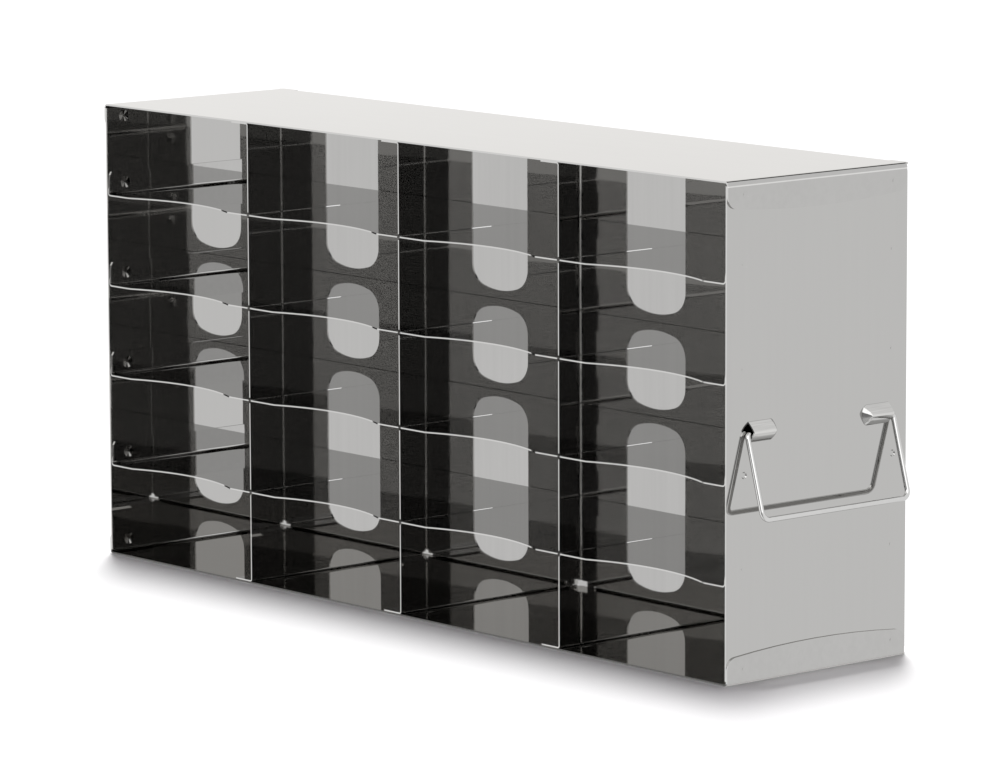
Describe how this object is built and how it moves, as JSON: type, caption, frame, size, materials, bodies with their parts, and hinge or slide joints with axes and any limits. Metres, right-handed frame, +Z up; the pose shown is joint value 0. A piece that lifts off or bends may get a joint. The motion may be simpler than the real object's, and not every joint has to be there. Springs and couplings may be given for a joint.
{
  "type": "cryogenic storage box rack",
  "caption": "Open-fronted stainless steel freezer rack that holds square cryogenic storage boxes in rows and columns, with push-out holes behind and a drop bail handle on one end.",
  "frame": {"origin": "centre of the underside of the rack, in the plane it stands on", "axes": "+Z up, the open front faces -Y, the end with the bail handle faces +X"},
  "size_m": [0.5753, 0.14, 0.28],
  "materials": {
    "casing_sheet": "bright rolled stainless steel sheet with faint rolling grain",
    "divider_sheet": "bright rolled stainless steel sheet with faint rolling grain",
    "bail_wire": "drawn stainless steel wire, satin"
  },
  "bodies": {
    "rack": {"top_cover": "casing_sheet", "bottom_pan": "casing_sheet", "back_panel": "casing_sheet", "left_end_panel": "casing_sheet", "handle_end_panel": "casing_sheet", "partition_left": "divider_sheet", "partition_middle": "divider_sheet", "partition_right": "divider_sheet", "shelf_1": "divider_sheet", "shelf_2": "divider_sheet", "shelf_3": "divider_sheet", "shelf_4": "divider_sheet"},
    "bail": {"bail_handle": "bail_wire"}
  },
  "joints": [
    {"name": "bail_pivot", "type": "hinge", "parent": "rack", "child": "bail", "pos_m": [0.2807, 0, 0.1394], "axis": [0, -1, 0], "range_deg": [-15.4, 163]}
  ]
}
